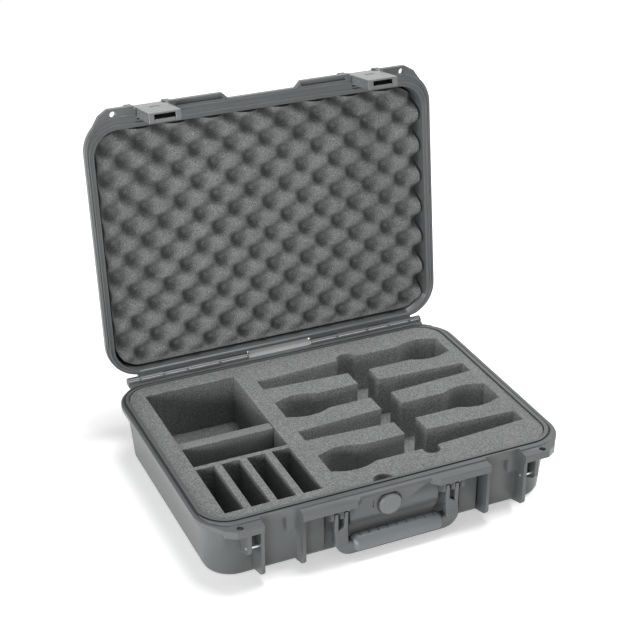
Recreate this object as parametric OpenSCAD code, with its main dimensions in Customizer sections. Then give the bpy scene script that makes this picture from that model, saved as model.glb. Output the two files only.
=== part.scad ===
// Hard utility case for four handheld microphones: moulded base and lid on a pinned
// hinge, two trigger latches, a swing handle, a pressure valve and cut foam inserts.
// Origin: centre of the rim outline, at the level that the base stands on. The front,
// with the latches and the handle, faces -Y. The lid is drawn open, leaning back.

/* [Case] */
// Width of the rim outline
case_w = 506; // [480:1:560]
// Depth of the rim outline, front to back
case_d = 367; // [350:1:400]
// Height of the base, from the ground to its rim
base_h = 90; // [84:1:110]
// Height of the lid above its own rim
lid_h = 56; // [50:1:70]
// Thickness of the shell walls
wall = 4; // [3:0.5:5]
// Thickness of the floor of the base
floor_t = 5; // [4:0.5:7]
// How much each side of the base leans in towards the bottom
base_draft = 7; // [3:0.5:9]
// How much each side of the lid leans in towards its top
lid_draft = 4; // [2:0.5:6]
// Radius of the rim's back corners
rim_r = 48; // [42:1:54]
// Angle at which the open lid stops
lid_open = 97; // [92:1:105]

/* [Rim] */
// Height of the rim flange
flange_t = 8; // [6:0.5:10]
// How far the flange stands out from the sides of the body
side_over = 8; // [7:0.5:10]
// How far the flange stands out from the front of the body
front_over = 15.5; // [14:0.5:18]
// How far the flange stands out from the back of the body
back_over = 2; // [1:0.5:3]
// Width of the lowered band along the flange's outer edge
band_w = 5.5; // [4:0.5:7]
// Drop of that band below the rim
band_drop = 2; // [1.5:0.25:3]
// Width of the gasket groove
groove_w = 3.4; // [3:0.1:4]
// Depth of the gasket groove
groove_depth = 4; // [3:0.25:5]
// Gap between the two rims when the case is shut
rim_gap = 0.4; // [0.3:0.05:0.8]
// Depth of the front ledges beyond the flange
ledge_depth = 8.5; // [7:0.5:10]
// Thickness of the ledges, below the lowered band
ledge_t = 10; // [8:0.5:12]
// Distance from the middle to the inner end of each ledge
ledge_in = 49; // [46:1:56]
// Padlock holes: distance in from the side of the rim
padlock_in = 43; // [39:1:48]
// Padlock holes: radius
padlock_r = 4.3; // [3.5:0.1:4.5]

/* [Latches] */
// Distance from the side of the rim to the middle of a latch
bay_in = 97.3; // [93:0.1:103]
// Half the width between the ribs on either side of a latch
bay_half = 25.1; // [24.5:0.1:28]
// Thickness of the ribs
rib_t = 4.3; // [3.5:0.1:5]
// How far the pads behind the latches stand in front of the body
pad_out = 6; // [5:0.5:7]
// Drop from the base's rim to the lower edge of the catch
catch_down = 33; // [30:1:36]
// Width of a latch
latch_w = 44; // [40:1:46]
// Depth of a latch, from its outer face to the edge of its side walls
latch_depth = 13.5; // [12.5:0.5:16]
// Distance from the lid's rim up to the latch pivot
pivot_up = 26; // [22:1:28]
// How far a latch reaches below the rims
latch_drop = 52; // [46:1:54]
// How far a latch hangs out from its locked place when the case is open
latch_loose = 2.5; // [2.5:0.25:6]
// Angle that a trigger turns through
trigger_turn = 10; // [9:1:11]
// Radius of the latch pivot pins
latch_pin_r = 2.5; // [2:0.25:3]
// Radius of the trigger pins
trigger_pin_r = 1.5; // [1.25:0.25:2]

/* [Handle] */
// Distance from the middle to the middle of each handle leg
handle_x = 77.5; // [74:0.5:82]
// Drop from the base's rim to the handle's pivot
handle_down = 18; // [15:1:19]
// Length of the handle from its pivot to the underside of the grip
handle_drop = 62; // [58:1:64]
// Radius of the handle pins
handle_pin_r = 2; // [1.75:0.25:2.5]
// Height of the grip
grip_h = 22; // [20:0.5:24]
// Depth of the grip
grip_d = 20; // [18:0.5:22]

/* [Valve] */
// Drop from the base's rim to the middle of the pressure valve
valve_down = 26; // [23:1:29]
// Radius of the valve's cap
valve_r = 15.5; // [13:0.5:16.5]
// Distance from the middle of the case to the valve, towards the left
valve_left = 8; // [0:1:16]

/* [Hinge] */
// Radius of the hinge knuckles
knuckle_r = 5.5; // [5:0.25:6]
// Radius of the hinge pins
hinge_pin_r = 2.5; // [2:0.25:3]
// Distance from the back of the flange to the hinge axis
hinge_out = 8.5; // [8:0.25:10]
// Half the length of the strip between the two hinge pins
strip_half = 48.5; // [44:0.5:52]

/* [Foam] */
// Thickness of the foam sheet on the floor
floor_foam_t = 10; // [6:1:14]
// How far the foam tray stays below the rim
foam_drop = 2; // [2:0.5:6]
// Depth of the microphone pockets
mic_depth = 58; // [50:1:64]
// Distance between the microphone rows
row_pitch = 71.3; // [68:0.1:72]
// Wave length of the convoluted foam across the lid
wave_x = 51.2; // [46:0.2:56]
// Wave length of the convoluted foam up the lid
wave_y = 46; // [42:0.2:50]
// Height of the convoluted foam from valley to peak
wave_h = 26; // [20:1:30]
// How far the foam's peaks stay inside the lid's rim
peak_in = 4; // [3:0.5:8]

/* [Hidden] */

$fn = 64;
fit = 0.05;          // radial clearance of every pin in its bore
gap = 0.4;           // clearance between pieces that move past each other
soft = 0.5;          // clearance round the foam inserts
eps = 0.01;
far = 40;            // reach of cutting solids past what they cut

hw = case_w / 2;
hd = case_d / 2;

// Body outline at the rim: half width, front and back distances, corner radius
body_side = hw - side_over;
body_front = hd - front_over;
body_back = hd - back_over;
body_r = rim_r - side_over;
in_side = body_side - wall;
in_front = body_front - wall;
in_back = body_back - wall;
in_r = body_r - wall;

// Hinge axis, and the lid's rim plane when the case is shut
hinge_y = hd + hinge_out;
hinge_z = base_h + 2;
lid_rim = base_h + rim_gap;

// Gasket groove: centre line between the inside wall and the pads
groove_side = body_side + groove_w / 2 + 0.4;
groove_front = body_front + 1.5;
groove_back = body_back - 1.6;
gasket_w = groove_w - 0.4;
gasket_h = 2.4;
tongue_w = 2.2;
tongue_h = rim_gap + groove_depth - gasket_h - 0.3;

// Ledges and ears on the flange's front corners
ledge_front = hd + ledge_depth;
ear_x = hw - 37;
ear_back = hd - 44;
padlock_x = hw - padlock_in;
padlock_y = ledge_front - 7.5;

// Ribs and pads round each latch
bay_x = hw - bay_in;
catch_z = base_h - catch_down;
pad_front = body_front + pad_out;
pad_step = 5.5;
rib_front = ledge_front - 2;
rib_low = 15;
gusset_x = bay_x + bay_half + 16.7;
gusset_w = 4.5;
gusset_low = base_h - 42;
strap_y = rib_front - 9;
strap_z = base_h - 37;
strap_r = 1.75;

// Latches, in their locked place on the shut case
latch_out = pad_front + 1 + latch_depth;
pivot_y = pad_front + 6;
pivot_z = lid_rim + pivot_up;
ear_r = 9;
ear_t = 8;
barrel_r = 6.5;
plate_t = 2.5;
side_t = 3;
latch_low = base_h - latch_drop;
latch_in = latch_w / 2 - side_t;
end_t = 1.8;
mouth_half = latch_in - 4.5;
trigger_y = latch_out - plate_t - 3.6;
trigger_z = catch_z + 13;
trigger_r = 3.4;
trigger_half = latch_in - gap;
tooth_reach = 1.8;

// Handle
handle_y = hd;
handle_z = base_h - handle_down;
clevis_step = 13.2;
prong_w = 5.6;
prong_r = 4.6;
leg_half = 9;
frame_t = 8.6;
handle_low = handle_z - handle_drop;
clevis_front = handle_y + prong_r + 1.5;

// Valve
valve_x = -valve_left;
valve_z = base_h - valve_down;
panel_front = hd - 4.5;
panel_half = handle_x - 15.5;
seat_y = in_front - 1.4;
valve_bore = 7;

// Hinge knuckles: ends of the segments, from the strip outwards, base and lid in turn
knuckle_ends = [for (k = [0, 0.24, 0.51, 0.705, 0.9, 1])
    strip_half + k * (hw - 25 - strip_half)];
slot_aim = 30;

// Foam
tray_z = floor_t + floor_foam_t;
tray_top = base_h - foam_drop;
foam_side = in_side - soft;
foam_front = in_front - soft;
foam_back = in_back - soft;
bay_left = -foam_side + 25;
wall_x = -86;
slot_count = 4;
slot_front = -foam_front + 15;
slot_back = -46;
slot_wall = 9.5;
box_back = foam_back - 25;
divider_y = 6.5;
divider_t = 15;
channel_x = 64.5;
channel_w = 31.5;
row_first = (foam_back - foam_front) / 2 + 1.5 * row_pitch + 0.8;
mic_right = hw - 28;
mic_left = wall_x + 25;

// A line in the middle of the base's front wall, at height z
function skin(z) = -(body_front - wall / 2 - base_draft * (1 - z / base_h));

// ---------- shared shapes ----------

// Rounded rectangle from its half width, front and back distances and corner radius
module rounded(side, front, back, r) {
    translate([-side + r, -front]) square([2 * (side - r), front + back]);
    translate([-side, -front + r]) square([2 * side, front + back - 2 * r]);
    for (x = [-side + r, side - r], y = [-front + r, back - r])
        translate([x, y]) circle(r);
}

// One thin layer of a body, drawn in by an inset
module layer(z, inset, side, front, back, r) {
    translate([0, 0, z]) linear_extrude(eps)
        rounded(side - inset, front - inset, back - inset, r - inset / 2, $fn = 32);
}

// Solid with leaning sides, and a rounded edge at its closed end
module tub(h, draft, round_e, side, front, back, r) {
    hull() {
        layer(0, draft + round_e, side, front, back, r, $fn = 32);
        layer(round_e * 0.3, draft + round_e * 0.35, side, front, back, r, $fn = 32);
        layer(round_e, draft, side, front, back, r, $fn = 32);
        layer(h - eps, 0, side, front, back, r, $fn = 32);
    }
}

// Extrudes a profile drawn as (y, z) from x0 to x1
module along_x(x0, x1) {
    translate([x0, 0, 0]) rotate([90, 0, 90]) linear_extrude(x1 - x0) children();
}

// Extrudes an outline drawn as (x, z) from y0 back to y1
module along_y(y0, y1) {
    translate([0, y1, 0]) rotate([90, 0, 0]) linear_extrude(y1 - y0) children();
}

// Round bar along X through (y, z)
module bar(x0, x1, y, z, r) {
    translate([x0, y, z]) rotate([0, 90, 0]) cylinder(r = r, h = x1 - x0);
}

// Round bar along Y through (x, z)
module stub(y0, y1, x, z, r) {
    translate([x, y1, z]) rotate([90, 0, 0]) cylinder(r = r, h = y1 - y0);
}

// Block between two corners
module block(a, b) {
    translate(a) cube(b - a);
}

module both_sides() {
    children();
    mirror([1, 0, 0]) children();
}

// Turns a piece drawn on the shut case to its place on the open lid
module opened() {
    translate([0, hinge_y, hinge_z]) rotate([-lid_open, 0, 0])
        translate([0, -hinge_y, -hinge_z]) children();
}

// Turns a latch piece from its locked place to where it hangs loose
module loose() {
    translate([0, -pivot_y, pivot_z]) rotate([-latch_loose, 0, 0])
        translate([0, pivot_y, -pivot_z]) children();
}

// Ledges along the front, seen from above
module ledges() {
    both_sides() polygon([
        [ledge_in - 6, -body_front + 1], [ledge_in, -hd], [ledge_in + ledge_depth, -ledge_front],
        [ear_x, -ledge_front], [ear_x + 13, -ledge_front + 8], [ear_x + 13, -hd + 26],
        [hw - rim_r, -body_front + 1]
    ]);
}

// Outline of the flange with its ledges and the ears of the front corners
module flange_outline() {
    rounded(hw, hd, hd, rim_r);
    ledges();
    both_sides() polygon([
        [ear_x + 13, -ledge_front + 8], [hw - 3, -ear_back - 13], [hw, -ear_back],
        [hw - rim_r, -ear_back], [ear_x - 10, -hd + 1]
    ]);
}

// Ring that follows the gasket groove
module groove_ring(w) {
    difference() {
        rounded(groove_side + w / 2, groove_front + w / 2, groove_back + w / 2, body_r + w / 2);
        rounded(groove_side - w / 2, groove_front - w / 2, groove_back - w / 2, body_r - w / 2);
    }
}

// Room for a latch in the flange of the base or the lid
module bay_cut(z0, z1) {
    both_sides() block(
        [bay_x - bay_half, -ledge_front - far, z0], [bay_x + bay_half, -pad_front, z1]);
}

// Hinge knuckle with a web to the rim; the pin shows through its slot
module knuckle(x0, x1, web_low, web_high, aim) {
    difference() {
        union() {
            bar(x0, x1, hinge_y, hinge_z, knuckle_r);
            block([x0, hd - 1, web_low], [x1, hinge_y, web_high]);
        }
        bar(x0 - 1, x1 + 1, hinge_y, hinge_z, hinge_pin_r + fit);
        translate([0, hinge_y, hinge_z]) rotate([-aim, 0, 0])
            block([x0 + 1, -2 * knuckle_r, -1], [x1 - 1, 0, 1]);
    }
}

// ---------- base ----------

// Plate that stands out from the front wall to y = -front, from z = low up to the flange
module fin(x, w, low, foot, front) {
    along_x(x, x + w) polygon([
        [skin(foot), foot], [-front + 4, low - 3], [-front, low + 2],
        [-front, base_h - flange_t], [skin(base_h - flange_t), base_h - flange_t]
    ]);
}

// Raised panel between the handle and a latch
module side_panel() {
    along_x(handle_x + clevis_step + 4.5, bay_x - bay_half - rib_t - 6) polygon([
        [skin(4), 4], [-body_front + base_draft - 1, 5], [-pad_front, 16],
        [-pad_front, base_h - flange_t], [skin(base_h - flange_t), base_h - flange_t]
    ]);
}

// Pad behind a latch: it steps back, but for the block whose lower edge is the catch
module latch_pad(x) {
    top = base_h - flange_t - 2;
    difference() {
        along_x(x - bay_half, x + bay_half) polygon([
            [skin(4), 4], [-body_front + base_draft - 1, 5], [-pad_front, 16],
            [-pad_front, base_h], [skin(base_h), base_h]
        ]);
        along_y(-pad_front - far, -pad_front + pad_step) translate([x, 0]) {
            translate([-bay_half - 1, -far]) square([2 * bay_half + 2, catch_z + far]);
            translate([-bay_half - 1, catch_z - 1]) square([bay_half + 11, top - 5 - catch_z]);
            translate([-bay_half - 1, catch_z - 1]) square([bay_half + 5, top + 1 - catch_z]);
            translate([4, top - 6]) circle(6);
        }
    }
}

// Front panel behind the valve, drawn in under it to leave room for fingers
module valve_panel() {
    low = 16;
    rise = base_h - 52;
    reach = panel_front - body_front + base_draft - 2;
    foot = panel_front - reach;
    along_x(-panel_half, panel_half) polygon(concat(
        [[skin(base_h - 3), base_h - 3], [skin(low), low]],
        [for (s = [0 : 0.125 : 1])
            [-foot - reach * (1 - cos(180 * s)) / 2, low + rise * s]],
        [[-panel_front, base_h - 3]]
    ));
}

// Three small ears that carry one side of the handle
module handle_clevis() {
    for (i = [-1, 0, 1])
        along_x(handle_x + i * clevis_step - rib_t / 2, handle_x + i * clevis_step + rib_t / 2)
            polygon([
                [skin(handle_z - 20), handle_z - 20], [-clevis_front + 5, handle_z - 9],
                [-clevis_front, handle_z - 6], [-clevis_front, base_h - flange_t],
                [skin(base_h - flange_t), base_h - flange_t]
            ]);
}

module base_shell() color("#787c7c") {
    difference() {
        union() {
            tub(base_h, base_draft, 5, body_side, body_front, body_back, body_r);
            difference() {
                union() {
                    translate([0, 0, base_h - flange_t])
                        linear_extrude(flange_t - band_drop) flange_outline();
                    translate([0, 0, base_h - flange_t]) linear_extrude(flange_t)
                        rounded(hw - band_w, hd - band_w, hd, rim_r - band_w);
                    translate([0, 0, base_h - band_drop - ledge_t]) linear_extrude(ledge_t)
                        ledges();
                }
                bay_cut(base_h - band_drop - ledge_t - 1, base_h + 1);
            }
            for (x = [-bay_x, bay_x]) latch_pad(x);
            both_sides() {
                fin(bay_x + bay_half, rib_t, rib_low, 4, rib_front);
                fin(bay_x - bay_half - rib_t, rib_t, rib_low, 4, rib_front);
                fin(gusset_x, gusset_w, gusset_low + 2, gusset_low - 12, rib_front);
                side_panel();
                handle_clevis();
            }
            valve_panel();
            both_sides() for (i = [0 : 2 : 4])
                knuckle(knuckle_ends[i] + gap / 2, knuckle_ends[i + 1] - gap / 2,
                    hinge_z - knuckle_r, base_h, slot_aim);
            block([-strip_half, hd - 1, base_h - flange_t], [strip_half, hinge_y - 3, base_h]);
            block([-hw + 41, hd - 1, base_h - flange_t], [hw - 41, hd + 2.3, base_h]);
        }
        translate([0, 0, floor_t])
            tub(base_h - floor_t + 1, base_draft, 3, in_side, in_front, in_back, in_r);
        translate([0, 0, base_h - groove_depth]) linear_extrude(groove_depth + 1)
            groove_ring(groove_w);
        both_sides() {
            translate([padlock_x, -padlock_y, base_h - band_drop - ledge_t - 1])
                cylinder(r = padlock_r, h = ledge_t + 4);
            bar(bay_x + bay_half - 1, gusset_x + 5, -strap_y, strap_z, strap_r + fit);
            bar(handle_x - clevis_step - rib_t, handle_x + clevis_step + rib_t,
                -handle_y, handle_z, handle_pin_r + fit);
        }
        stub(-panel_front - 1, -seat_y + far, valve_x, valve_z, valve_bore);
        stub(-panel_front - 1, -panel_front + 2, valve_x, valve_z, valve_r + 1.3);
        stub(-seat_y, -seat_y + 12, valve_x, valve_z, 13.5);
        block([valve_x - 23, -panel_front - 1, valve_z - 1],
            [valve_x - 21, -panel_front + 1.5, valve_z + 9]);
    }
}

module rim_gasket() color("#222325")
    translate([0, 0, base_h - groove_depth]) linear_extrude(gasket_h) groove_ring(gasket_w);

// Steel pin across the slot between the outer rib and its gusset
module strap_pin() color("#c9ccce")
    bar(bay_x + bay_half - 1, gusset_x + 5, -strap_y, strap_z, strap_r);

module handle_pin() color("#d3d5d7")
    bar(handle_x - clevis_step - rib_t / 2, handle_x + clevis_step + rib_t / 2,
        -handle_y, handle_z, handle_pin_r);

// ---------- handle ----------

// Outline of the handle's frame, seen from the front
module handle_outline() {
    side = handle_x + leg_half;
    top = handle_z - 27;
    corner = 22;
    difference() {
        union() {
            translate([-side + corner, handle_low])
                square([2 * (side - corner), top - handle_low]);
            translate([-side, handle_low + corner]) square([2 * side, top - handle_low - corner]);
            for (s = [-1, 1]) translate([s * (side - corner), handle_low + corner])
                circle(corner);
        }
        translate([-handle_x + leg_half, handle_low + grip_h - 4])
            square([2 * (handle_x - leg_half), handle_drop]);
    }
}

// Prong of a leg, open to the front where it snaps over the pin
module prong(x) {
    difference() {
        union() {
            bar(x - prong_w / 2, x + prong_w / 2, -handle_y, handle_z, prong_r);
            block([x - prong_w / 2, -handle_y - frame_t / 2, handle_z - 28],
                [x + prong_w / 2, -handle_y + frame_t / 2, handle_z]);
        }
        bar(x - prong_w, x + prong_w, -handle_y, handle_z, handle_pin_r + fit);
        translate([0, -handle_y, handle_z]) rotate([-50, 0, 0])
            block([x - prong_w, -2 * prong_r, -1.6], [x + prong_w, 0, 1.6]);
    }
}

module handle_frame() color("#7b8082") {
    along_y(-handle_y - frame_t / 2, -handle_y + frame_t / 2) handle_outline();
    both_sides() for (s = [-0.5, 0.5]) prong(handle_x + s * clevis_step);
}

// Grip moulded round the bar of the frame
module handle_grip() color("#6d757b") {
    half = handle_x - leg_half - 3;
    low = handle_low - 2;
    difference() {
        along_x(-half, half) translate([-handle_y - 1, 0])
            rounded(grip_d / 2, -low, low + grip_h, 9);
        along_x(-half - 1, half + 1)
            polygon([
                [-handle_y - frame_t / 2, handle_low], [-handle_y + frame_t / 2, handle_low],
                [-handle_y + frame_t / 2, handle_low + grip_h - 4],
                [-handle_y - frame_t / 2, handle_low + grip_h - 4]
            ]);
        for (i = [-4 : 4]) block(
            [i * 13 - 1, -handle_y - grip_d, low + grip_h - 0.8],
            [i * 13 + 1, -handle_y + grip_d, low + grip_h + 1]);
    }
}

// ---------- pressure valve ----------

valve_face = panel_front - 2;

module valve_body() color("#3a3c3e") {
    difference() {
        union() {
            stub(-valve_face - 2.5, -valve_face, valve_x, valve_z, 13);
            stub(-valve_face - eps, -seat_y + 8, valve_x, valve_z, valve_bore - fit);
        }
        stub(-valve_face - 3, -valve_face + 3, valve_x, valve_z, 5);
        stub(-valve_face, -seat_y + 9, valve_x, valve_z, 3);
        difference() {
            stub(-valve_face - 1.9, -valve_face + 1, valve_x, valve_z, 10.6);
            stub(-valve_face - 2, -valve_face + 2, valve_x, valve_z, 8.2);
        }
    }
}

module valve_o_ring() color("#1c1c1e")
    translate([valve_x, -valve_face - 0.95, valve_z]) rotate([90, 0, 0])
        rotate_extrude() translate([9.4, 0]) circle(0.95, $fn = 24);

module valve_membrane() color("#d8d8d2")
    stub(-valve_face + 2.4, -valve_face + 3, valve_x, valve_z, 5 - fit);

module valve_cap() color("#7d8181") {
    difference() {
        translate([valve_x, -valve_face - 2.5, valve_z]) rotate([90, 0, 0]) union() {
            cylinder(r = valve_r, h = 2.5);
            translate([0, 0, 2.5]) rotate_extrude() polygon(concat(
                [[0, 0], [valve_r, 0]],
                [for (a = [15 : 15 : 90]) [valve_r - 3 + 3 * cos(a), 2.4 * sin(a)]],
                [[0, 3]]
            ));
        }
        stub(-valve_face - 4.3, -valve_face, valve_x, valve_z, 11);
        for (a = [0 : 60 : 300]) translate([valve_x, -valve_face - 2.5, valve_z]) rotate([0, a, 0])
            block([-1.5, -1.2, 10], [1.5, 1, valve_r + 1]);
    }
}

module valve_nut() color("#45484a")
    difference() {
        translate([valve_x, -seat_y + 5, valve_z]) rotate([90, 0, 0])
            cylinder(r = 11.5, h = 5, $fn = 6);
        stub(-seat_y - 1, -seat_y + 6, valve_x, valve_z, valve_bore);
    }

// ---------- hinge ----------

module hinge_pin() color("#d9dbdd")
    bar(strip_half + 0.6, knuckle_ends[5] - 1, hinge_y, hinge_z, hinge_pin_r);

// Strip that keeps the inner ends of the hinge pins in, leaning back, with pointed ends
module hinge_strip() color("#999b9c") {
    low = hinge_z - 4.6;
    high = hinge_z + 7.6;
    tip = 2.5;
    intersection() {
        along_x(-strip_half, strip_half) translate([hinge_y, hinge_z]) polygon([
            [-3, -4.6], [-3, -1.9], [-3.6, -1.9], [-3.6, -1.2], [2.2, 7.6], [3.6, 6.2],
            [0.5, 1.5], [1, -4.6]
        ]);
        along_y(hinge_y - 5, hinge_y + 5) polygon([
            [-strip_half, (low + high) / 2], [-strip_half + tip, low], [strip_half - tip, low],
            [strip_half, (low + high) / 2], [strip_half - tip, high], [-strip_half + tip, high]
        ]);
    }
}

// ---------- foam ----------

module floor_foam() color("#55585a")
    translate([0, 0, floor_t]) linear_extrude(floor_foam_t)
        rounded(foam_side - base_draft - 2.5, foam_front - base_draft - 2.5,
            foam_back - base_draft - 2.5, in_r - 4);

// Pocket for one microphone, from its head end at 0 along +X: head bulge, then a taper
module mic_pocket(length) {
    bulge_r = 60;
    head = 28.5;
    waist = length * 5 / 11;
    intersection() {
        for (s = [-1, 1]) intersection() {
            translate([33, s * (head - bulge_r)]) circle(bulge_r);
            translate([33, -s * (head - bulge_r)]) circle(bulge_r);
        }
        translate([0, -head]) square([70, 2 * head]);
    }
    polygon([
        [0, 20.5], [waist, 20.5], [length - 30, 13.5], [length, 12],
        [length, -12], [length - 30, -13.5], [waist, -20.5], [0, -20.5]
    ]);
}

// Centre line of microphone row i, from the back
function row_y(i) = row_first - i * row_pitch;

module mic_rows() {
    length = mic_right - mic_left;
    for (i = [0, 2]) translate([mic_right, row_y(i)]) rotate(180) mic_pocket(length);
    for (i = [1, 3]) translate([mic_left, row_y(i)]) mic_pocket(length);
    translate([channel_x, row_y(3)]) square([channel_w, row_y(0) - row_y(3) + 18]);
    translate([channel_x + channel_w / 2, row_y(0) + 18]) circle(channel_w / 2);
    translate([channel_x + 4, row_y(3) - 24]) square([channel_w - 8, 28]);
    translate([channel_x + channel_w / 2, row_y(3) - 24]) circle((channel_w - 8) / 2);
}

// Slots for four flat transmitter packs, and the two boxes behind them
module open_boxes() {
    slot_w = (wall_x - bay_left - (slot_count - 1) * slot_wall) / slot_count;
    for (i = [0 : slot_count - 1])
        translate([bay_left + i * (slot_w + slot_wall), slot_front])
            square([slot_w, slot_back - slot_front]);
    translate([bay_left, slot_back + 7])
        square([wall_x - bay_left, divider_y - slot_back - 7]);
    translate([bay_left, divider_y]) square([wall_x - bay_left, box_back - divider_y]);
}

module tray_foam() color("#6f7375") {
    lean = base_draft * (base_h - tray_z) / (base_h - floor_t);
    difference() {
        hull() {
            layer(tray_z, lean + 0.5, foam_side, foam_front, foam_back, in_r, $fn = 32);
            layer(tray_top - eps, 0.5, foam_side, foam_front, foam_back, in_r, $fn = 32);
        }
        translate([0, 0, tray_z - 1]) linear_extrude(base_h) open_boxes();
        translate([0, 0, tray_top - mic_depth]) linear_extrude(base_h) mic_rows();
        translate([valve_x, -foam_front, tray_top - 44]) cylinder(r = 14, h = 60);
    }
}

// Block of foam that parts the two open boxes
module divider_foam() color("#6a6e70")
    block([bay_left + 0.3, divider_y, tray_z],
        [wall_x - 0.3, divider_y + divider_t, tray_top - 1]);

// ---------- lid, drawn shut ----------

// Ear of the lid that carries one end of a latch pin
module latch_ear(x) {
    along_x(x, x + ear_t) {
        translate([-pivot_y, pivot_z]) circle(ear_r);
        polygon([
            [-pivot_y, pivot_z + ear_r], [-pivot_y - ear_r, pivot_z],
            [-pivot_y - ear_r + 1, lid_rim], [-in_front, lid_rim],
            [-in_front, pivot_z + ear_r + 8]
        ]);
    }
}

module lid_shell() color("#787c7c") opened() {
    top = lid_rim + lid_h;
    difference() {
        union() {
            translate([0, 0, top]) mirror([0, 0, 1])
                tub(lid_h, lid_draft, 7, body_side, body_front, body_back, body_r);
            difference() {
                translate([0, 0, lid_rim]) linear_extrude(flange_t) flange_outline();
                bay_cut(lid_rim - 1, lid_rim + flange_t + 1);
            }
            both_sides() {
                latch_ear(bay_x + latch_w / 2 + gap);
                latch_ear(bay_x - latch_w / 2 - gap - ear_t);
                for (i = [1, 3]) knuckle(knuckle_ends[i] + gap / 2,
                    knuckle_ends[i + 1] - gap / 2, lid_rim, lid_rim + 4.5,
                    slot_aim - lid_open);
                block([strip_half + gap, hd - 1, lid_rim],
                    [hw - 41, hd + 2.3, lid_rim + flange_t]);
            }
            translate([0, 0, lid_rim - tongue_h]) linear_extrude(tongue_h + 1)
                groove_ring(tongue_w);
            translate([0, 0, lid_rim - 1.4]) linear_extrude(2) difference() {
                rounded(hw - 2, hd - 2, hd, rim_r - 2);
                rounded(hw - 4, hd - 4, hd, rim_r - 4);
                translate([-hw, hd - rim_r]) square([case_w, case_d]);
                for (x = [-bay_x, bay_x]) translate([x - bay_half, -hd - 1])
                    square([2 * bay_half, 20]);
                for (x = [-padlock_x, padlock_x]) translate([x, -padlock_y])
                    circle(padlock_r + 1.5);
            }
        }
        translate([0, 0, top - 1.2]) linear_extrude(3)
            rounded(in_side - 28, in_front - 28, in_back - 28, in_r - 14);
        translate([0, 0, lid_rim + lid_h - wall]) mirror([0, 0, 1])
            tub(lid_h - wall + 1, lid_draft, 3, in_side, in_front, in_back, in_r);
        both_sides() {
            translate([padlock_x, -padlock_y, lid_rim - 2])
                cylinder(r = padlock_r, h = flange_t + 4);
            block([ledge_in + 8, -ledge_front + 3, lid_rim - 1],
                [bay_x - bay_half - 6.5, -ledge_front + 7.5, lid_rim + 3.5]);
            bar(bay_x - latch_w / 2 - gap - ear_t - 1, bay_x + latch_w / 2 + gap + ear_t + 1,
                -pivot_y, pivot_z, latch_pin_r + fit);
        }
    }
}

// Convoluted foam: broad peaks and narrow pits from the product of two cosines, its front
// points drawn in to the rounded outline
lid_foam_side = in_side - lid_draft - soft;
lid_foam_front = in_front - lid_draft - soft;
lid_foam_back = in_back - lid_draft - soft;
lid_foam_r = in_r - 2;
peak_x = -18.5;
peak_y = -72.1;

function foam_z(x, y) = lid_rim + peak_in + wave_h
    * pow((1 - cos(360 * (x - peak_x) / wave_x) * cos(360 * (y - peak_y) / wave_y)) / 2, 2);

// Moves a point of the grid's rim onto the rounded corner
function drawn_in(p) =
    let (cx = max(0, abs(p[0]) - (lid_foam_side - lid_foam_r)),
         cy = max(0, p[1] > 0 ? p[1] - (lid_foam_back - lid_foam_r)
                              : -p[1] - (lid_foam_front - lid_foam_r)),
         d = norm([cx, cy]),
         k = d > lid_foam_r ? lid_foam_r / d : 1)
    [sign(p[0]) * (abs(p[0]) - cx + k * cx), p[1] + sign(p[1]) * (k * cy - cy)];

// Grid lines at each half wave, with the two edges and a line near each corner
function grid(low, high, peak, step) = concat([low, low + 0.35 * lid_foam_r],
    [for (i = [ceil((low - peak) / step + 0.6) : floor((high - peak) / step - 0.6)])
        peak + i * step], [high - 0.35 * lid_foam_r, high]);

// Each cell of the grid has a point in its middle; the sides lean in towards the back
module lid_foam() color("#585b5c") opened() {
    xs = grid(-lid_foam_side, lid_foam_side, peak_x, wave_x / 2);
    ys = grid(-lid_foam_front, lid_foam_back, peak_y, wave_y / 2);
    nx = len(xs);
    ny = len(ys);
    back = lid_rim + lid_h - wall;
    lean = 1 - 5.5 / lid_foam_side;
    rim = [for (y = ys, x = xs) drawn_in([x, y])];
    top = [for (p = rim) [p[0], p[1], foam_z(p[0], p[1])]];
    middle = [for (j = [0 : ny - 2], i = [0 : nx - 2])
        let (p = (rim[j * nx + i] + rim[j * nx + i + 1] + rim[(j + 1) * nx + i]
            + rim[(j + 1) * nx + i + 1]) / 4) [p[0], p[1], foam_z(p[0], p[1])]];
    ring = concat([for (i = [0 : nx - 2]) i], [for (j = [0 : ny - 2]) j * nx + nx - 1],
        [for (i = [nx - 1 : -1 : 1]) (ny - 1) * nx + i], [for (j = [ny - 1 : -1 : 1]) j * nx]);
    n = len(ring);
    centre = nx * ny;
    base = centre + len(middle);
    polyhedron(
        points = concat(top, middle, [for (k = ring) [top[k][0] * lean, top[k][1] * lean, back]]),
        faces = concat(
            [for (j = [0 : ny - 2], i = [0 : nx - 2])
                let (q = [j * nx + i, j * nx + i + 1, (j + 1) * nx + i + 1, (j + 1) * nx + i])
                for (k = [0 : 3]) [q[k], q[(k + 1) % 4], centre + j * (nx - 1) + i]],
            [for (k = [0 : n - 1]) [ring[k], base + k, base + (k + 1) % n]],
            [for (k = [0 : n - 1]) [ring[k], base + (k + 1) % n, ring[(k + 1) % n]]],
            [[for (k = [n - 1 : -1 : 0]) base + k]]
        )
    );
}

module latch_pin() color("#d3d5d7")
    bar(bay_x - latch_w / 2 - gap - ear_t + 1, bay_x + latch_w / 2 + gap + ear_t - 1,
        -pivot_y, pivot_z, latch_pin_r);

// ---------- latches, drawn locked at the middle of the case ----------

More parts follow.
